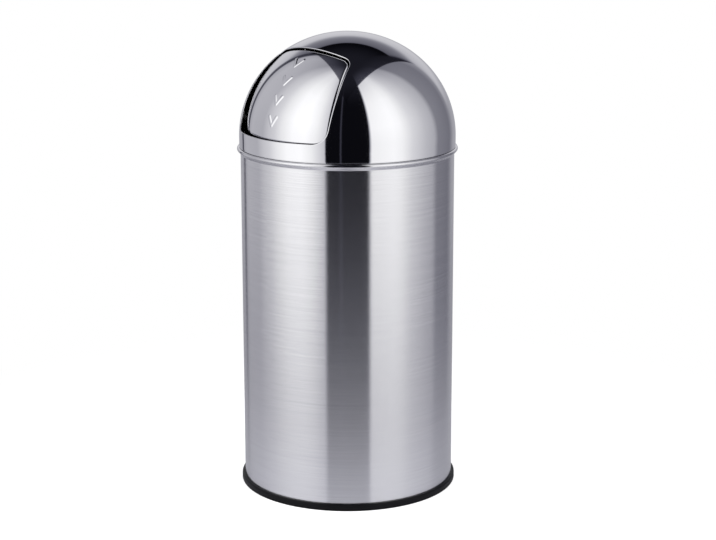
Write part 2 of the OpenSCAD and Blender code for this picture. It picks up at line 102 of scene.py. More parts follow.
def makePiece(bm, name, material, rides, stands, sharp=32):
    # edges sharper than this many degrees stay hard
    for f in bm.faces:
        f.smooth = True
    for e in bm.edges:
        e.smooth = not (len(e.link_faces) == 2 and e.calc_face_angle(0) > radians(sharp))
    mesh = bpy.data.meshes.new(name)
    bm.to_mesh(mesh)
    bm.free()
    piece = bpy.data.objects.new(name, mesh)
    bpy.context.scene.collection.objects.link(piece)
    mesh.materials.append(material)
    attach(piece, rides)
    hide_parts(*stands)
    return piece


# shader nodes

def newMaterial(name):
    material = bpy.data.materials.new(name)
    material.use_nodes = True
    tree = material.node_tree
    return material, tree, tree.nodes["Principled BSDF"]


def put(tree, kind, **options):
    node = tree.nodes.new(kind)
    for key, value in options.items():
        setattr(node, key, value)
    return node


def feed(tree, node, *values):
    # numbers and links go into the node's sockets in their order
    for i, value in enumerate(values):
        if isinstance(value, (int, float)):
            node.inputs[i].default_value = value
        else:
            tree.links.new(value, node.inputs[i])
    return node.outputs[0]


def calc(tree, operation, *values):
    return feed(tree, put(tree, "ShaderNodeMath", operation=operation), *values)


def step(tree, value, low, high):
    # 0 below low and 1 above high, smooth between
    node = put(tree, "ShaderNodeMapRange", interpolation_type="SMOOTHSTEP")
    return feed(tree, node, value, low, high, 0.0, 1.0)


def ramp(tree, value, stops):
    # stops are (place, grey level) or (place, colour)
    node = put(tree, "ShaderNodeValToRGB")
    elements = node.color_ramp.elements
    while len(elements) > 1:
        elements.remove(elements[-1])
    for i, (place, colour) in enumerate(stops):
        element = elements[0] if i == 0 else elements.new(place)
        element.position = place
        element.color = (*colour, 1) if isinstance(colour, tuple) else (colour,) * 3 + (1,)
    tree.links.new(value, node.inputs[0])
    return node.outputs[0]


def noise(tree, vector, scale, detail, roughness=0.5):
    node = put(tree, "ShaderNodeTexNoise")
    tree.links.new(vector, node.inputs["Vector"])
    node.inputs["Scale"].default_value = scale
    node.inputs["Detail"].default_value = detail
    node.inputs["Roughness"].default_value = roughness
    return node.outputs["Fac"]


def objectPoint(tree):
    return put(tree, "ShaderNodeTexCoord").outputs["Object"]


def stretched(tree, vector, scale):
    node = put(tree, "ShaderNodeMapping")
    tree.links.new(vector, node.inputs["Vector"])
    node.inputs["Scale"].default_value = scale
    return node.outputs[0]


def roundTube(tree):
    # X runs round the tube in metres at its wall, Z runs up
    split = put(tree, "ShaderNodeSeparateXYZ")
    tree.links.new(objectPoint(tree), split.inputs[0])
    turn = calc(tree, "ARCTAN2", split.outputs[0], split.outputs[1])
    join = put(tree, "ShaderNodeCombineXYZ")
    tree.links.new(calc(tree, "MULTIPLY", turn, body["radius"] * mm), join.inputs[0])
    tree.links.new(split.outputs[2], join.inputs[2])
    return join.outputs[0]


def between(tree, value, low, high):
    node = put(tree, "ShaderNodeMapRange")
    return feed(tree, node, value, 0.0, 1.0, low, high)


def bump(tree, shader, height, strength, distance):
    node = put(tree, "ShaderNodeBump")
    node.inputs["Strength"].default_value = strength
    node.inputs["Distance"].default_value = distance
    tree.links.new(height, node.inputs["Height"])
    tree.links.new(node.outputs[0], shader.inputs["Normal"])


def tinted(tree, factor, dark, light):
    # from the colour or link dark to light; sockets 6 and 7 and output 2 are the node's colours
    node = put(tree, "ShaderNodeMix", data_type="RGBA")
    tree.links.new(factor, node.inputs[0])
    for socket, colour in ((6, dark), (7, light)):
        if isinstance(colour, tuple):
            node.inputs[socket].default_value = (*colour, 1)
        else:
            tree.links.new(colour, node.inputs[socket])
    return node.outputs[2]


def blend(tree, first, firstShare, second):
    # a weighted sum of two patterns
    return calc(tree, "ADD", calc(tree, "MULTIPLY", first, firstShare),
                calc(tree, "MULTIPLY", second, 1 - firstShare))


# the finishes

def brushedSteel():
    look = dict(dark=(0.74, 0.738, 0.765), light=(0.89, 0.888, 0.905), roughness=(0.14, 0.17),
                beadRoughness=0.12, anisotropy=1.0, fine=(6, 1, 2600), broad=(3, 1, 800),
                fineShare=0.65, contrast=(0.3, 0.7), relief=(0.18, 0.0002),
                smoothFrom=(-0.2, 0.8))         # millimetres over the neck's foot
    material, tree, shader = newMaterial("brushedSteel")
    tube = roundTube(tree)
    fine = noise(tree, stretched(tree, tube, look["fine"]), 1.0, 2.0)           # the brush's lines
    broad = noise(tree, stretched(tree, tube, look["broad"]), 1.0, 3.0, 0.6)    # heavier strokes
    lines = blend(tree, fine, look["fineShare"], broad)
    tree.links.new(tinted(tree, step(tree, lines, *look["contrast"]), look["dark"], look["light"]),
                   shader.inputs["Base Color"])
    # the neck and the rolled bead keep the sheet's smoother mill finish
    split = put(tree, "ShaderNodeSeparateXYZ")
    tree.links.new(objectPoint(tree), split.inputs[0])
    foot = body["height"] - 2 * body["bead"] - body["neck"]
    onBead = step(tree, split.outputs[2], *[(foot + over) * mm for over in look["smoothFrom"]])
    rough = between(tree, lines, *look["roughness"])
    smoother = calc(tree, "MULTIPLY", onBead, calc(tree, "SUBTRACT", look["beadRoughness"], rough))
    tree.links.new(calc(tree, "ADD", rough, smoother), shader.inputs["Roughness"])
    shader.inputs["Metallic"].default_value = 1
    shader.inputs["Anisotropic"].default_value = look["anisotropy"]
    shader.inputs["Anisotropic Rotation"].default_value = 0.25       # a quarter turn
    tangent = put(tree, "ShaderNodeTangent", direction_type="RADIAL", axis="Z")
    tree.links.new(tangent.outputs[0], shader.inputs["Tangent"])
    bump(tree, shader, lines, *look["relief"])
    return material


def polishedSteel():
    look = dict(dark=(0.82, 0.82, 0.845), light=(0.88, 0.88, 0.9), roughness=(0.03, 0.06), cloud=14,
                hair=(20, 1, 900), cloudShare=0.7, relief=(0.02, 0.0004))
    material, tree, shader = newMaterial("polishedSteel")
    # a wiped, uneven sheen with the polishing's hairlines in it
    cloud = noise(tree, objectPoint(tree), look["cloud"], 4.0)
    hair = noise(tree, stretched(tree, roundTube(tree), look["hair"]), 1.0, 2.0)
    mixed = blend(tree, cloud, look["cloudShare"], hair)
    tree.links.new(tinted(tree, cloud, look["dark"], look["light"]), shader.inputs["Base Color"])
    tree.links.new(between(tree, mixed, *look["roughness"]), shader.inputs["Roughness"])
    shader.inputs["Metallic"].default_value = 1
    bump(tree, shader, cloud, *look["relief"])
    return material


def galvanised():
    look = dict(dark=(0.42, 0.44, 0.46), light=(0.68, 0.70, 0.72), roughness=(0.28, 0.5), cells=95,
                cloud=22, cellShare=0.6, relief=(0.06, 0.0003))
    material, tree, shader = newMaterial("galvanised")
    point = objectPoint(tree)
    cells = put(tree, "ShaderNodeTexVoronoi", feature="F1")
    tree.links.new(point, cells.inputs["Vector"])
    cells.inputs["Scale"].default_value = look["cells"]
    grey = put(tree, "ShaderNodeRGBToBW")
    tree.links.new(cells.outputs["Color"], grey.inputs[0])
    dull = noise(tree, point, look["cloud"], 4.0)
    both = blend(tree, grey.outputs[0], look["cellShare"], dull)
    tree.links.new(tinted(tree, both, look["dark"], look["light"]), shader.inputs["Base Color"])
    tree.links.new(between(tree, both, *look["roughness"]), shader.inputs["Roughness"])
    shader.inputs["Metallic"].default_value = 1
    bump(tree, shader, both, *look["relief"])
    return material


def plainFinish(name, dark, light, roughness, tone, stretch=None, grain=None, relief=None,
                metallic=0.0, specular=0.5, subsurface=0.0):
    # a tone that wanders over the piece and, where grain is given, a finer relief
    material, tree, shader = newMaterial(name)
    point = objectPoint(tree)
    cloud = noise(tree, stretched(tree, point, stretch) if stretch else point, *tone)
    tree.links.new(tinted(tree, cloud, dark, light), shader.inputs["Base Color"])
    tree.links.new(between(tree, cloud, *roughness), shader.inputs["Roughness"])
    shader.inputs["Metallic"].default_value = metallic
    shader.inputs["Specular IOR Level"].default_value = specular
    shader.inputs["Subsurface Weight"].default_value = subsurface
    if grain:
        bump(tree, shader, noise(tree, point, *grain), *relief)
    return material


def blackPlastic():
    look = dict(dark=(0.003, 0.003, 0.004), light=(0.006, 0.006, 0.008), roughness=(0.34, 0.5),
                tone=(30, 3.0), grain=(900, 2.0), relief=(0.15, 0.0002), specular=0.16)
    return plainFinish("blackPlastic", **look)


def zincPlated():
    look = dict(dark=(0.52, 0.53, 0.56), light=(0.70, 0.69, 0.64), roughness=(0.26, 0.4),
                tone=(60, 3.0), grain=(1200, 2.0), relief=(0.08, 0.0001), metallic=1.0)
    return plainFinish("zincPlated", **look)


def springSteel():
    look = dict(dark=(0.26, 0.26, 0.28), light=(0.42, 0.42, 0.44), roughness=(0.25, 0.42),
                tone=(1.0, 2.0), stretch=(900, 200, 200), metallic=1.0)
    return plainFinish("springSteel", **look)


def nylon():
    look = dict(dark=(0.66, 0.64, 0.58), light=(0.78, 0.76, 0.70), roughness=(0.38, 0.52),
                tone=(200, 3.0), subsurface=0.1)
    return plainFinish("nylon", **look)


def rubber():
    look = dict(dark=(0.02, 0.02, 0.02), light=(0.04, 0.04, 0.04), roughness=(0.6, 0.8),
                tone=(400, 3.0), grain=(400, 3.0), relief=(0.2, 0.0002))
    return plainFinish("rubber", **look)


finish = dict(brushed=brushedSteel(), polished=polishedSteel(), black=blackPlastic(),
              galvanised=galvanised(), plated=zincPlated(), spring=springSteel(), nylon=nylon(),
              rubber=rubber())
print("finishes made")


# body, floor ring and base plate

def bodyShell():
    b = body
    r, top = b["radius"], b["height"]
    centre = Vector((insideRadius + b["bead"], top - b["bead"]))
    # a short neck leads from the wall out to the curl's underside, both at the same slope
    lean = pi / 4
    low = top - 2 * b["bead"] - b["neck"]
    under = centre + b["bead"] * Vector((cos(lean), -sin(lean)))
    bend = (under.y - low - under.x + r) / (2 * sin(lean) - 1)
    neck = [Vector((r + bend * (1 - cos(a)), low + bend * sin(a)))
            for a in [lean * share for share in shares(b["neckSteps"])]]
    curl = arc(centre, b["bead"], -lean, pi, b["beadSteps"])
    profile = [Vector((insideRadius, b["foot"])), Vector((r, b["foot"]))] + neck + curl
    makePiece(spunMesh(profile), "body_tube", finish["brushed"], "body", ["body_shell"])


# the ring holds the tube's edge and the plate's flange in its groove
ring = dict(height=11.0, out=5.0, lip=5.0, floor=3.2, heel=1.4, crown=2.6, mouth=0.4, lipEdge=0.5,
            innerEdge=0.8)
# the plate's middle stands up by step, and the slope runs from stepRadius over stepRun
plate = dict(flange=7.0, wall=0.8, step=2.0, stepRadius=105.0, stepRun=5.0, slant=0.3, bend=3.0,
             rimBend=1.4, innerBend=0.6)


def floorRing():
    g = ring
    out, high = body["radius"] + g["out"], g["height"]
    grip = body["radius"] + seatGap
    groove = insideRadius - seatGap - plate["wall"] - seatGap
    inner = groove - g["lip"]
    lipTop = body["foot"] + plate["flange"] - plate["wall"] - seatGap
    profile = rounded([(inner, 0, g["innerEdge"]), (out, 0, g["heel"], 6), (out, high, g["crown"], 8),
                       (grip, high, g["mouth"]), (grip, g["floor"]), (groove, g["floor"]),
                       (groove, lipTop, g["lipEdge"]), (inner, lipTop, g["innerEdge"])])
    makePiece(spunMesh(profile), "floor_ring", finish["black"], "body", ["base_ring"])


def basePlate():
    p = plate
    top = body["foot"] + p["flange"]
    high = top + p["step"]
    r = insideRadius - seatGap
    run = p["stepRadius"] + p["stepRun"]
    profile = rounded([(0, high - p["wall"]), (0, high), (p["stepRadius"], high, p["bend"]),
                       (run, top, p["bend"]), (r, top, p["rimBend"]), (r, body["foot"]),
                       (r - p["wall"], body["foot"]), (r - p["wall"], top - p["wall"], p["innerBend"]),
                       (run - p["slant"], top - p["wall"], p["bend"]),
                       (p["stepRadius"] - p["slant"], high - p["wall"], p["bend"])])
    makePiece(spunMesh(profile, steps=192), "floor_plate", finish["galvanised"], "body", ["base_plate"])


bodyShell()
floorRing()
basePlate()
print("body made")


# lid

# out is how far the dome stands past the body, and flat how much lower it is than a
# half ball; edge is the radius round the opening, and corner that of the sheet's own edges
lid = dict(out=2.0, flat=8.0, skirt=16.7, wall=0.8, hem=6.0, lift=0.3, edge=1.6, corner=0.1)
# drawn on a face that leans back by tilt, with heights measured up it from the dome's centre
opening = dict(tilt=30.0, halfWidth=104.0, wideAt=-33.8, low=-77.3, high=87.6, lowRadius=323.0,
               highRadius=760.0, sideRadius=332.0, lowCorner=29.0, highCorner=20.0, flange=4.0)
# steps along the dome's section, and along each of the opening's edges
domeSteps = dict(hem=8, skirt=5, outside=90, edge=8, bend=4, inside=45)
openingSteps = dict(corner=14, side=84, top=96, bottom=124)
openingAim = radians(32)                # the opening's middle, over the level of the dome's centre

domeRadius = body["radius"] + lid["out"]
domeHeight = domeRadius - lid["flat"]
lidZ = body["height"] + lid["lift"]
domeZ = lidZ + lid["skirt"]


def onDome(x, v, depth):
    # the point of the dome, sunk by depth, behind x and v on the tilted face
    a, h = domeRadius - depth, domeHeight - depth
    c, s = cos(radians(opening["tilt"])), sin(radians(opening["tilt"]))
    p = c * c / (a * a) + s * s / (h * h)
    q = 2 * v * s * c * (1 / (h * h) - 1 / (a * a))
    w = x * x / (a * a) + v * v * (s * s / (a * a) + c * c / (h * h)) - 1
    t = (sqrt(q * q - 4 * p * w) - q) / (2 * p)
    return Vector((x, v * s - t * c, domeZ + v * c + t * s))


def circlesMeet(c1, r1, c2, r2):
    d = (c2 - c1).length
    along = (d * d + r1 * r1 - r2 * r2) / (2 * d)
    u = (c2 - c1) / d
    return c1 + along * u + sqrt(r1 * r1 - along * along) * Vector((-u.y, u.x))


def angleTo(a, b):
    return atan2(b.y - a.y, b.x - a.x)


def openingArcs(inset, steps, o=opening):
    # the right half's lower corner, side and upper corner, then the top and the bottom edge
    r, q = o["lowCorner"], o["highCorner"]
    side = Vector((o["halfWidth"] - o["sideRadius"], o["wideAt"]))
    low = Vector((0, o["low"] + o["lowRadius"]))
    high = Vector((0, o["high"] - o["highRadius"]))
    foot = circlesMeet(low, o["lowRadius"] - r, side, o["sideRadius"] - r)
    head = circlesMeet(side, o["sideRadius"] - q, high, o["highRadius"] - q)
    footStart, footEnd = angleTo(low, foot), angleTo(side, foot)
    headStart, headEnd = angleTo(side, head), angleTo(high, head)
    return (arc(foot, r - inset, footStart, footEnd, steps["corner"]),
            arc(side, o["sideRadius"] - inset, footEnd, headStart, steps["side"]),
            arc(head, q - inset, headStart, headEnd, steps["corner"]),
            arc(high, o["highRadius"] - inset, headEnd, pi - headEnd, steps["top"]),
            arc(low, o["lowRadius"] - inset, -pi - footStart, footStart, steps["bottom"]))


def mirrored(points):
    return [Vector((-p.x, p.y)) for p in reversed(points)]


def openingLoop(inset):
    lowCorner, side, highCorner, top, bottom = openingArcs(inset, openingSteps)
    right = lowCorner[:-1] + side[:-1] + highCorner
    return right + top[1:-1] + mirrored(right) + bottom[1:-1]


def domeRows():
    # rings of points, from the hem up over the dome, round the opening's edge and back inside
    n = domeSteps
    w, edge, deep, corner = lid["wall"], lid["edge"], opening["flange"], lid["corner"]
    centre = Vector((0, -cos(openingAim), sin(openingAim)))
    # each point of the opening starts a line over the dome, straight away from the opening's middle
    bearings = []
    for p in openingLoop(-edge):
        q = onDome(p.x, p.y, 0)
        s = Vector((q.x / domeRadius, q.y / domeRadius, (q.z - domeZ) / domeHeight))
        side = (s - s.dot(centre) * centre).normalized()
        near = acos(max(-1, min(1, s.dot(centre))))
        bearings.append((side, near, atan2(centre.z, -side.z)))

    def shell(depth, share):
        # a line round the dome, from the opening's edge at 0 to the dome's foot at 1
        row = []
        for side, near, reach in bearings:
            a = near + (reach - near) * share
            s = centre * cos(a) + side * sin(a)
            row.append(Vector((s.x * (domeRadius - depth), s.y * (domeRadius - depth),
                               domeZ + s.z * (domeHeight - depth))))
        return row

    def ringRow(r, z):
        row = []
        for side, near, reach in bearings:
            s = centre * cos(reach) + side * sin(reach)
            row.append(Vector((s.x * r, s.y * r, z)))
        return row

    def lipRow(inset, depth):
        return [onDome(p.x, p.y, depth) for p in openingLoop(inset)]

    # the hem folds round at the wall's thickness, and the skirt rises from it
    rows = [ringRow(domeRadius - w - w * cos(pi * share), lidZ + w - w * sin(pi * share))
            for share in shares(n["hem"])]
    rows += [ringRow(domeRadius, lidZ + w + (lid["skirt"] - w) * share)
             for share in shares(n["skirt"])[1:-1]]
    # the dome's outside, and the opening's rounded edge and flange
    rows += [shell(0, 1 - share) for share in shares(n["outside"])[:-1]]
    rows += [lipRow(-edge * (1 - sin(pi / 2 * share)), edge * (1 - cos(pi / 2 * share)))
             for share in shares(n["edge"])]
    rows += [lipRow(0, deep - corner), lipRow(-corner, deep), lipRow(-w + corner, deep),
             lipRow(-w, deep - corner)]
    bend = edge - w
    rows += [lipRow(-edge + bend * sin(pi / 2 * share), w + bend * (1 - cos(pi / 2 * share)))
             for share in reversed(shares(n["bend"]))]
    # the dome's inside, down to the hem's inner end
    rows += [shell(w, share) for share in shares(n["inside"])[1:]]
    hemTop = lidZ + lid["hem"]
    rows += [ringRow(domeRadius - w, hemTop + 2 * corner), ringRow(domeRadius - w - corner, hemTop),
             ringRow(domeRadius - 2 * w, hemTop - corner)]
    return rows


def domeShell():
    # a grid whose first and last rows and columns meet
    rows = domeRows()
    count, around = len(rows), len(rows[0])
    bm = bmesh.new()
    bmesh.ops.create_grid(bm, x_segments=count, y_segments=around, size=1)
    for vert in bm.verts:
        i = round((vert.co.x + 1) / 2 * count) % count
        j = round((vert.co.y + 1) / 2 * around) % around
        vert.co = rows[i][j] * mm
    bmesh.ops.remove_doubles(bm, verts=bm.verts, dist=mergeWithin)
    bmesh.ops.recalc_face_normals(bm, faces=bm.faces)
    makePiece(bm, "dome_shell", finish["polished"], "lid", ["dome"],
              sharp=50)


# drop is how far the collar's top lies under the skirt's, and flange how thick that top is
plug = dict(depth=22.0, wall=0.8, gap=1.0, drop=3.0, flange=2.0, bend=0.5, edge=0.6)


def collar():
    p = plug
    w = p["wall"]
    r = insideRadius - p["gap"]
    top, foot = domeZ - p["drop"], body["height"] - p["depth"]
    under = top - p["flange"]
    reach = domeRadius - lid["wall"] - seatGap
    profile = rounded([(r - w, foot), (r, foot), (r, under, p["bend"]), (reach, under),
                       (reach, top), (r - w, top, p["edge"])])
    makePiece(spunMesh(profile), "plug_collar", finish["plated"], "lid", ["lid_collar"])


domeShell()
collar()
print("dome made")


# flap

# recess is its depth under the dome, lean the degrees by which it rests swung in, and higher how
# much nearer it lies to the opening's upper edge
flap = dict(gap=4.0, recess=3.0, lean=3.5, rim=5.0, wall=0.8, edge=2.0, lowCorner=32.0,
            highCorner=23.0, higher=2.0, hingeBack=20.2, hingeDrop=15.3)
# footIn and armIn, in strokes, lead from a mark's outline to the middle of its stroke
marks = dict(count=4, rise=0.8, stroke=4.0, shoulder=2.6, width=20.0, height=18.0, pitch=34.0,
             lowest=-44.0, footIn=0.8, armIn=(0.45, 1.15))
# the columns are narrow over the middle, up to the share dense of the half width, where the marks
# are, and then grow over the share widen to coarse times that width
flapMesh = dict(columns=136, rows=288, dense=0.5, widen=0.15, coarse=10, rimSteps=6,
                outline=dict(corner=40, side=200, top=200, bottom=200))

# the flap's outline is the opening's with rounder corners
flapOutline = dict(opening, lowCorner=flap["lowCorner"], highCorner=flap["highCorner"],
                   high=opening["high"] + flap["higher"])
topEdge = onDome(0, opening["high"], 0)
hinge = Vector((0, topEdge.y + flap["hingeBack"], topEdge.z - flap["hingeDrop"]))
restTurn = Matrix.Rotation(radians(flap["lean"]), 3, "X")


def atRest(p):
    return restTurn @ (p - hinge) + hinge


def markHeight(x, v):
    # how far the pressed chevrons lift the flap's face at a point
    m = marks
    stroke, shoulder = m["stroke"], m["shoulder"]
    p = Vector((abs(x), v))
    best = m["pitch"]
    for i in range(m["count"]):
        foot = m["lowest"] - m["height"] / 2 + i * m["pitch"] + stroke * m["footIn"]
        tip = Vector((0, foot))
        arm = Vector((m["width"] / 2 - stroke * m["armIn"][0],
                      foot + m["height"] - stroke * m["armIn"][1]))
        along = max(0, min(1, (p - tip).dot(arm - tip) / (arm - tip).length_squared))
        best = min(best, (p - tip - (arm - tip) * along).length)
    t = (stroke / 2 + shoulder / 2 - best) / shoulder
    t = max(0, min(1, t))
    return m["rise"] * t * t * (3 - 2 * t)


def flapGrid():
    # places across and up the flap, from 0 to 1
    m = flapMesh
    steps, total = [], 0
    for k in range(m["columns"]):
        over = abs((k + 0.5) / m["columns"] * 2 - 1) - m["dense"]
        size = 1 if over < 0 else 1 + (m["coarse"] - 1) * min(1, over / m["widen"])
        steps.append(size)
        total += size
    places, at = [0.0], 0
    for size in steps:
        at += size
        places.append(at / total)
    return places, shares(m["rows"])


def alongEdge(points, places):
    # points at the given shares of a line's length
    lengths = [0.0]
    for a, b in zip(points, points[1:]):
        lengths.append(lengths[-1] + (b - a).length)
    out, k = [], 0
    for share in places:
        want = share * lengths[-1]
        while k < len(points) - 2 and lengths[k + 1] < want:
            k += 1
        t = (want - lengths[k]) / (lengths[k + 1] - lengths[k])
        out.append(points[k].lerp(points[k + 1], min(1, max(0, t))))
    return out


def flapEdges(inset, across, upward):
    # the flap's four edges, each from one corner's middle to the next
    steps = flapMesh["outline"]
    half = steps["corner"] // 2
    lowCorner, side, highCorner, top, bottom = openingArcs(inset, steps, flapOutline)
    rightEdge = lowCorner[half:-1] + side[:-1] + highCorner[:half + 1]
    topRight, lowRight = highCorner[half:], lowCorner[:half + 1]
    topLine = sorted(topRight + top[1:-1] + mirrored(topRight), key=lambda p: p.x)
    bottomLine = sorted(lowRight + bottom[1:-1] + mirrored(lowRight), key=lambda p: p.x)
    leftEdge = [Vector((-p.x, p.y)) for p in rightEdge]
    return (alongEdge(bottomLine, across), alongEdge(topLine, across),
            alongEdge(leftEdge, upward), alongEdge(rightEdge, upward))


def flapShell():
    f = flap
    nx, ny = flapMesh["columns"], flapMesh["rows"]
    across, upward = flapGrid()
    edge = f["edge"]
    bottom, top, left, right = flapEdges(f["gap"] + edge, across, upward)
    bm = bmesh.new()
    bmesh.ops.create_grid(bm, x_segments=nx, y_segments=ny, size=1)
    places = {}
    for vert in bm.verts:
        i, j = round((vert.co.x + 1) / 2 * nx), round((vert.co.y + 1) / 2 * ny)
        s, t = across[i], upward[j]
        # the face's lines run evenly from edge to edge
        flat = (bottom[i] * (1 - t) + top[i] * t + left[j] * (1 - s) + right[j] * s
                - bottom[0] * (1 - s) * (1 - t) - bottom[-1] * s * (1 - t)
                - top[0] * (1 - s) * t - top[-1] * s * t)
        places[vert] = (i, j)
        vert.co = atRest(onDome(flat.x, flat.y, f["recess"] - markHeight(flat.x, flat.y))) * mm
    # the rim turns in over a rounded edge
    rim = [e for e in bm.edges if e.is_boundary]
    ways = [(edge * (1 - sin(pi / 2 * share)), edge * (1 - cos(pi / 2 * share)))
            for share in shares(flapMesh["rimSteps"])[1:]]
    ways += [(0, (edge + f["rim"]) / 2), (0, f["rim"])]
    for inset, depth in ways:
        low, high, leftLine, rightLine = flapEdges(f["gap"] + inset, across, upward)
        grown = bmesh.ops.extrude_edge_only(bm, edges=rim)["geom"]
        moved = {}
        for vert in (v for v in grown if isinstance(v, bmesh.types.BMVert)):
            ends = [e.other_vert(vert) for e in vert.link_edges]
            i, j = places[next(v for v in ends if v in places)]
            if j in (0, ny):
                flat = low[i] if j == 0 else high[i]
            else:
                flat = leftLine[j] if i == 0 else rightLine[j]
            vert.co = atRest(onDome(flat.x, flat.y, f["recess"] + depth)) * mm
            moved[vert] = (i, j)
        rim = [e for e in grown if isinstance(e, bmesh.types.BMEdge) and e.is_boundary]
        places = moved
    bmesh.ops.recalc_face_normals(bm, faces=bm.faces)
    centre = max(bm.faces, key=lambda g: g.calc_area())
    if centre.normal.y > 0:
        bmesh.ops.reverse_faces(bm, faces=bm.faces)
    piece = makePiece(bm, "push_flap", finish["polished"], "flap", ["flap_panel"],
                      sharp=60)
    wall = piece.modifiers.new("wall", "SOLIDIFY")
    wall.thickness = f["wall"] * mm
    wall.offset = -1


flapShell()
print("flap made")


# bucket and fittings

bucket = dict(gap=4.0, taper=6.0, drop=35.4, wall=0.5, bead=3.0, foot=5.0, lift=0.3, bend=1.2,
              innerBend=0.7, beadSteps=32)


def bucketShell():
    b = bucket
    w = b["wall"]
    inner = insideRadius - b["gap"] - 2 * b["bead"]
    top = body["height"] - b["drop"]
    foot = body["foot"] + plate["flange"] + b["lift"]
    outer = inner + w
    low = outer - b["taper"]
    centre = Vector((inner + b["bead"], top - b["bead"]))
    meets = acos((outer - centre.x) / b["bead"])        # where the outer wall runs into the curl
    curl = arc(centre, b["bead"], -meets, pi, b["beadSteps"])
    profile = [Vector((low - w, foot)), Vector((low, foot))] + curl
    makePiece(spunMesh(profile, steps=224), "bucket_wall", finish["galvanised"], "bucket",
              ["bucket_shell"])
    z = foot + b["foot"]
    r = low - w - seatGap
    pan = rounded([(0, z), (0, z + w), (r, z + w, b["bend"]), (r, foot), (r - w, foot),
                   (r - w, z, b["innerBend"])])
    makePiece(spunMesh(pan, steps=160), "bucket_pan", finish["galvanised"], "bucket", ["bucket_bottom"])


bucketShell()
# the small fittings keep their solids' meshes
fittings = dict(hinge_bracket="plated", hinge_rod="plated", rod_clips="spring", rod_washers="nylon",
                flap_spring="spring", flap_hinge_plate="plated", knuckle_bushes="nylon",
                flap_stop_tabs="plated", stop_buffers="rubber", bail_ears="plated",
                ear_rivets="plated", bail_wire="plated")
for node, kind in fittings.items():
    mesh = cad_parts[node].data
    mesh.materials.clear()
    mesh.materials.append(finish[kind])
print("bucket made")


# camera, studio, floor and lamps

# the camera stands in front of the bin and to its right, higher than the dome, and looks at the
# bin's middle: metres and degrees, with the lens and the sensor in millimetres
camera = dict(distance=3.0804, height=1.1044, azimuth=47.31, pitch=13.615, turn=0.3165, roll=-0.07,
              lens=95.726, sensor=36, sees=(0.1, 50))


def makeCamera():
    c = camera
    data = bpy.data.cameras.new("studioCamera")
    data.lens, data.sensor_width, data.sensor_fit = c["lens"], c["sensor"], "HORIZONTAL"
    data.clip_start, data.clip_end = c["sees"]
    view = bpy.data.objects.new("studioCamera", data)
    bpy.context.scene.collection.objects.link(view)
    a = radians(c["azimuth"])
    facing = (Matrix.Rotation(a - radians(c["turn"]), 3, "Z")
              @ Matrix.Rotation(radians(90 - c["pitch"]), 3, "X")
              @ Matrix.Rotation(radians(c["roll"]), 3, "Z"))
    view.location = (c["distance"] * sin(a), -c["distance"] * cos(a), c["height"])
    view.rotation_euler = facing.to_euler()
    bpy.context.scene.camera = view


# brightness round the studio at eye level, by degrees to the right of the camera
studioRound = [(-180, 0.42), (-152, 0.38), (-148.5, 0.36), (-147.3, 0.06), (-143.6, 0.06),
               (-142, 0.42), (-134, 0.50), (-110, 0.48), (-100, 0.62), (-90, 0.72), (-81, 0.9),
               (-66, 1.12), (-50, 1.16), (-38, 1.0), (-26, 0.68), (-23.5, 0.62), (-22.9, 0.003),
               (-8.0, 0.003), (-7.4, 0.12), (-6.8, 0.003), (23.6, 0.003), (24.2, 0.98), (36, 1.04),
               (50, 1.1), (59, 1.04), (73, 0.76), (91, 0.56), (104, 0.46), (111, 0.24),
               (137, 0.19), (151, 0.36), (180, 0.42)]
# and its fall with height, by degrees above the horizon, on the panels and on the backdrop
panelFall = [(-90, 1.0), (0, 1.0), (18, 1.06), (34, 1.04), (45, 1.0), (55, 0.9), (66, 0.75),
             (90, 0.5)]
backFall = [(-90, 1.05), (0, 1.05), (9, 1.58), (15, 1.6), (20, 1.55), (25, 1.46), (28, 1.15),
            (31, 0.76), (35, 0.54), (41, 0.42), (46, 0.32), (90, 0.3)]
# the studio's dim parts are a little cooler than its panels
studioTint = [(0.0, (0.86, 0.86, 1.28)), (0.1, (0.93, 0.925, 1.14)), (0.3, (0.965, 0.96, 1.07)),
              (0.6, (0.985, 0.98, 1.03)), (0.98, (1.0, 1.0, 1.0))]
# a panel's upper edge climbs by its slope towards its bearing, and a dim glow hangs over it
panels = dict(right=dict(side=1, slope=3.15, bearing=66, glow=0.06, glowDepth=0.7),
              left=dict(side=-1, slope=3.9, bearing=75, glow=0.14, glowDepth=0.9))
# where the backdrop's sides and top and the faint ceiling begin, in degrees, two brightnesses, and
# how soft the panels' edges and the seam between them are
studio = dict(backFrom=(143.0, 148.0), backTop=(45.5, 47.5), ceilingFrom=(40.0, 75.0),
              ceiling=0.012, everywhere=0.001, panelEdge=0.05, between=0.02)


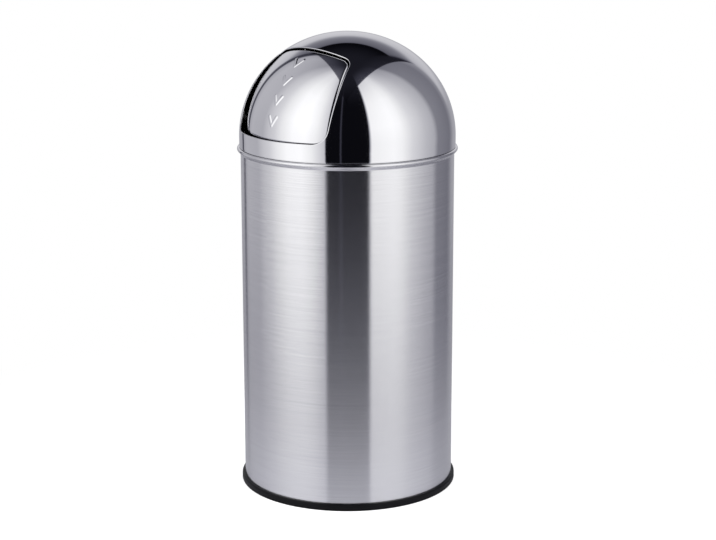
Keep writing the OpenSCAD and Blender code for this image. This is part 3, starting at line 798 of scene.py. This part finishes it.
def makeWorld():
    world = bpy.data.worlds.new("studio")
    bpy.context.scene.world = world
    world.use_nodes = True
    tree = world.node_tree
    background = tree.nodes["Background"]
    turn = put(tree, "ShaderNodeVectorRotate", rotation_type="Z_AXIS")
    tree.links.new(put(tree, "ShaderNodeTexCoord").outputs["Generated"], turn.inputs["Vector"])
    turn.inputs["Angle"].default_value = radians(-camera["azimuth"])
    split = put(tree, "ShaderNodeSeparateXYZ")
    tree.links.new(turn.outputs[0], split.inputs[0])
    x, y, z = split.outputs
    towardsCamera = calc(tree, "MULTIPLY", y, -1.0)
    azimuth = calc(tree, "MULTIPLY", calc(tree, "ARCTAN2", x, towardsCamera), 180 / pi)
    height = calc(tree, "MULTIPLY", calc(tree, "ARCSINE", z), 180 / pi)

    def byDegrees(value, limit, stops):
        share = feed(tree, put(tree, "ShaderNodeMapRange"), value, -limit, limit, 0.0, 1.0)
        return ramp(tree, share, [((a + limit) / (2 * limit), v) for a, v in stops])

    def either(share, first, second):
        # the first where share is 1, and the second where it is 0
        return calc(tree, "ADD", calc(tree, "MULTIPLY", share, first),
                    calc(tree, "MULTIPLY", calc(tree, "SUBTRACT", 1.0, share), second))

    def panelShape(side, slope, bearing, glow, glowDepth):
        # the edge is a straight line, so it is a plane through the object's middle
        rise = calc(tree, "ADD", calc(tree, "MULTIPLY", x, side * slope * sin(radians(bearing))),
                    calc(tree, "MULTIPLY", y, -slope * cos(radians(bearing))))
        under = calc(tree, "SUBTRACT", rise, z)
        haze = calc(tree, "MULTIPLY", step(tree, under, -glowDepth, 0.0), glow)
        return calc(tree, "MAXIMUM", step(tree, under, 0.0, studio["panelEdge"]), haze)

    isBack = step(tree, calc(tree, "ABSOLUTE", azimuth), *studio["backFrom"])
    isRight = step(tree, x, -studio["between"], studio["between"])
    panel = either(isRight, panelShape(**panels["right"]), panelShape(**panels["left"]))
    panel = calc(tree, "MULTIPLY", panel, byDegrees(height, 90.0, panelFall))
    underTop = calc(tree, "SUBTRACT", 1.0, step(tree, height, *studio["backTop"]))
    backdrop = calc(tree, "MULTIPLY", underTop, byDegrees(height, 90.0, backFall))
    light = calc(tree, "MULTIPLY", byDegrees(azimuth, 180.0, studioRound),
                 either(isBack, backdrop, panel))
    ceiling = calc(tree, "MULTIPLY", step(tree, height, *studio["ceilingFrom"]), studio["ceiling"])
    light = calc(tree, "ADD", calc(tree, "ADD", light, ceiling), studio["everywhere"])
    # camera and transmission rays see plain white
    path = put(tree, "ShaderNodeLightPath")
    plain = calc(tree, "MAXIMUM", path.outputs["Is Camera Ray"],
                 path.outputs["Is Transmission Ray"])
    strength = either(plain, 1.0, light)
    tree.links.new(strength, background.inputs["Strength"])
    tree.links.new(ramp(tree, strength, studioTint), background.inputs["Color"])


def makeFloor():
    # mirrored is the floor's colour in the metal, with painted shade making it darker further out, and
    # thins is how clear it is there, both by the share of its radius
    f = dict(radius=2.4, segments=96, inner=0.26, outer=0.93, colour=0.8, lift=0.62,
             glossyShare=0.04,
             mirrored=[(0.10, (0.62, 0.62, 0.67)), (0.25, (0.41, 0.41, 0.445)),
                       (0.49, (0.29, 0.29, 0.335)), (0.72, (0.23, 0.23, 0.28))],
             thins=[(0.08, 0.2), (0.12, 0.25), (0.22, 0.34), (0.34, 0.46), (0.49, 0.62),
                    (0.66, 0.75), (0.95, 1.0)])
    bm = bmesh.new()
    bmesh.ops.create_circle(bm, cap_ends=True, cap_tris=False, segments=f["segments"],
                            radius=f["radius"])
    mesh = bpy.data.meshes.new("studioFloor")
    bm.to_mesh(mesh)
    bm.free()
    floor = bpy.data.objects.new("studioFloor", mesh)
    bpy.context.scene.collection.objects.link(floor)
    material, tree, shader = newMaterial("paleFloor")
    tree.nodes.remove(shader)
    path = put(tree, "ShaderNodeLightPath")
    isCamera, isGlossy = path.outputs["Is Camera Ray"], path.outputs["Is Glossy Ray"]
    away = put(tree, "ShaderNodeVectorMath", operation="LENGTH")
    tree.links.new(objectPoint(tree), away.inputs[0])
    share = calc(tree, "DIVIDE", away.outputs["Value"], f["radius"])
    matt = put(tree, "ShaderNodeBsdfDiffuse")
    # in the metal the floor takes the mirrored ramp's painted shade, darker the further out it lies
    tree.links.new(tinted(tree, isGlossy, (f["colour"],) * 3, ramp(tree, share, f["mirrored"])),
                   matt.inputs[0])
    # a glow lifts the lit floor towards white, and further out it is white altogether
    glow = put(tree, "ShaderNodeEmission")
    seen = calc(tree, "MAXIMUM", isCamera, calc(tree, "MULTIPLY", isGlossy, f["glossyShare"]))
    seen = calc(tree, "MAXIMUM", seen, path.outputs["Is Transmission Ray"])
    tree.links.new(calc(tree, "MULTIPLY", seen, f["lift"]), glow.inputs["Strength"])
    lit = feed(tree, put(tree, "ShaderNodeAddShader"), matt.outputs[0], glow.outputs[0])
    white = put(tree, "ShaderNodeEmission").outputs[0]
    fade = calc(tree, "MULTIPLY", step(tree, away.outputs["Value"], f["inner"], f["outer"]),
                isCamera)
    near = feed(tree, put(tree, "ShaderNodeMixShader"), fade, lit, white)
    # in the metal the floor thins out with distance, and the studio's panels show through it
    clear = put(tree, "ShaderNodeBsdfTransparent").outputs[0]
    thin = calc(tree, "MULTIPLY", ramp(tree, share, f["thins"]), isGlossy)
    surface = feed(tree, put(tree, "ShaderNodeMixShader"), thin, near, clear)
    tree.links.new(surface, tree.nodes["Material Output"].inputs[0])
    mesh.materials.append(material)


# bearings in degrees from the camera, powers in watts, the rest in metres
lamps = dict(overhead=dict(bearing=10, height=2.6, distance=0.3, size=1.8, power=26),
             left=dict(bearing=-60, height=1.6, distance=2.0, size=1.2, power=9),
             right=dict(bearing=55, height=1.6, distance=2.0, size=1.2, power=9))
lampsAim = Vector((0, 0, 0.3))


def softLamp(name, bearing, height, distance, size, power):
    data = bpy.data.lights.new(name, "AREA")
    data.shape, data.size, data.energy = "DISK", size, power
    lamp = bpy.data.objects.new(name, data)
    bpy.context.scene.collection.objects.link(lamp)
    a = radians(bearing + camera["azimuth"])
    lamp.location = (distance * sin(a), -distance * cos(a), height)
    lamp.rotation_euler = (lampsAim - lamp.location).to_track_quat("-Z", "Y").to_euler()
    # the steel mirrors the panels alone
    lamp.visible_glossy = False
    lamp.visible_camera = False


makeCamera()
makeWorld()
makeFloor()
for name, lamp in lamps.items():
    softLamp(name, **lamp)
bpy.context.scene.view_settings.view_transform = "Standard"
print("studio made")
